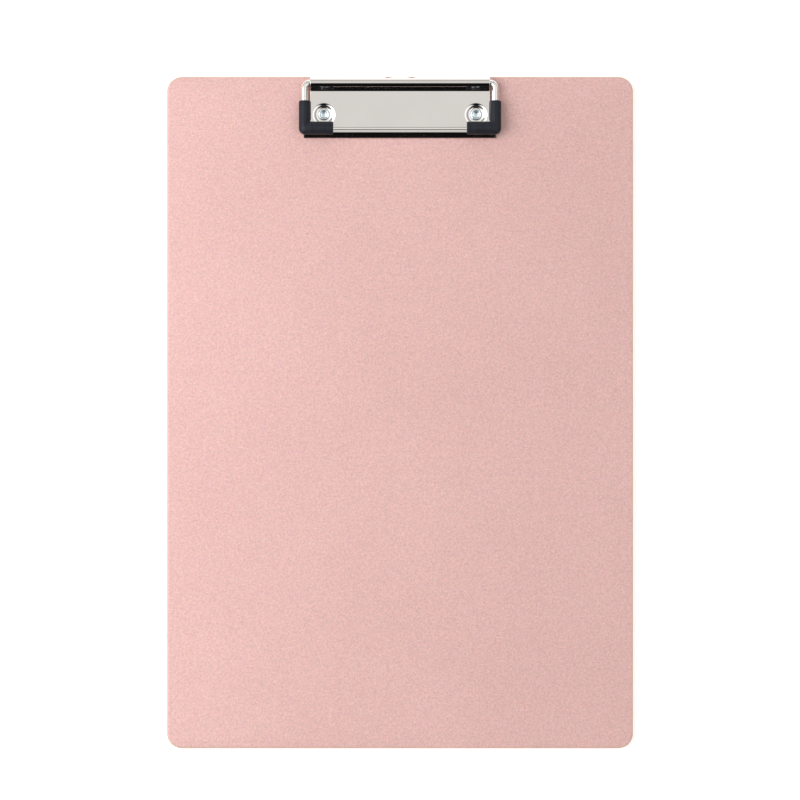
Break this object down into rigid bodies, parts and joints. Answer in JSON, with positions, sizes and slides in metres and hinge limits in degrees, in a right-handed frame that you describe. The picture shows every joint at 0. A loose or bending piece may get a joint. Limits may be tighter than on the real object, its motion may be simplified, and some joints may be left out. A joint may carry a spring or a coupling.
{
  "type": "clipboard",
  "caption": "A4 clipboard: a thin faced board with rounded corners and a low-profile sprung wire clip with rubber-sleeved feet.",
  "frame": {"origin": "centre of the board's outline, on the back face that it rests on", "axes": "+Z out of the front face, +Y up the board towards the clip, +X to the right seen from the front"},
  "size_m": [0.22, 0.317, 0.0121],
  "materials": {
    "fibreboard": "hardboard core, seen as a thin tan line at the edge",
    "pearl_sheet": "pale pearl-pink facing with a fine sandy grain",
    "nickel_plate": "bright nickel-plated pressed steel",
    "nickel_wire": "bright nickel-plated spring wire",
    "sleeve_rubber": "black, slightly glossy moulded rubber",
    "zinc_rivet": "bluish zinc-plated steel"
  },
  "bodies": {
    "board": {"board_core": "fibreboard", "front_sheet": "pearl_sheet", "back_sheet": "pearl_sheet", "base_plate": "nickel_plate", "wire_centre": "nickel_wire", "rivets": "zinc_rivet"},
    "left_wire": {"left_arm": "nickel_wire", "left_sleeve": "sleeve_rubber"},
    "right_wire": {"right_arm": "nickel_wire", "right_sleeve": "sleeve_rubber"}
  },
  "joints": [
    {"name": "left_arm_lift", "type": "hinge", "parent": "board", "child": "left_wire", "pos_m": [0, 0.1556, 0.00565], "axis": [-1, 0, 0], "range_deg": [0, 60], "stiffness_Nm_per_rad": 0.25, "springref_deg": -45.84},
    {"name": "right_arm_lift", "type": "hinge", "parent": "board", "child": "right_wire", "pos_m": [0, 0.1556, 0.00565], "axis": [-1, 0, 0], "range_deg": [0, 60], "stiffness_Nm_per_rad": 0.25, "springref_deg": -45.84}
  ]
}
